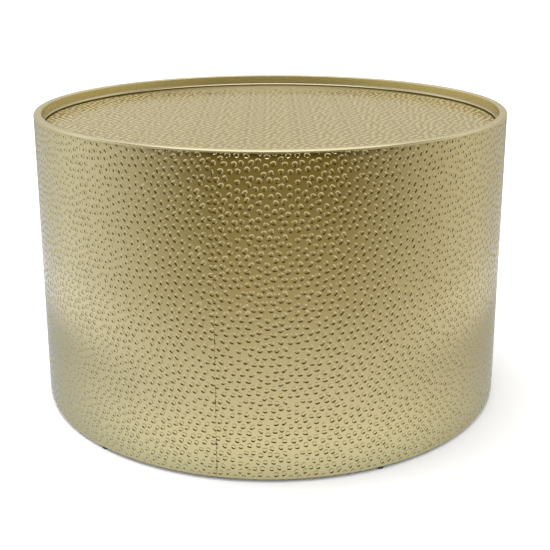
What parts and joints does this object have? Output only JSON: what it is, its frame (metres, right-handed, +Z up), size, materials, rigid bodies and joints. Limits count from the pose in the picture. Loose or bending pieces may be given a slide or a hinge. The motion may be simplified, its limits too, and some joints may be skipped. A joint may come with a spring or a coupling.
{
  "type": "coffee table",
  "caption": "Round drum coffee table in satin gold sheet metal with an all-over hammered dimple texture, a smooth rolled rim, a recessed top plate and small hidden feet.",
  "frame": {"origin": "on the floor, on the drum's axis", "axes": "+Z up; -Y is the front, the side with the vertical seam just left of its middle; +X is to the right seen from the front"},
  "size_m": [0.7399, 0.74, 0.457],
  "materials": {
    "shell_gold": "satin champagne gold lacquer on hammered sheet",
    "rim_gold": "smooth satin champagne gold",
    "top_gold": "satin champagne gold lacquer on hammered sheet",
    "frame_gold": "thin dull gold overspray",
    "foot_rubber": "matt black",
    "zinc_steel": "zinc plated"
  },
  "bodies": {
    "root": {"drum_shell": "shell_gold", "seam_strip": "frame_gold", "rim_ring": "rim_gold", "top_plate": "top_gold", "plate_band": "frame_gold", "plate_studs": "zinc_steel", "plate_washers": "zinc_steel", "plate_nuts": "zinc_steel", "support_ring": "frame_gold", "brace_long": "frame_gold", "brace_front": "frame_gold", "brace_back": "frame_gold", "base_ring": "frame_gold", "foot_1": "foot_rubber", "foot_2": "foot_rubber", "foot_3": "foot_rubber", "foot_4": "foot_rubber", "foot_5": "foot_rubber", "foot_6": "foot_rubber", "foot_studs": "zinc_steel", "foot_washers": "zinc_steel", "foot_nuts": "zinc_steel"}
  },
  "joints": []
}
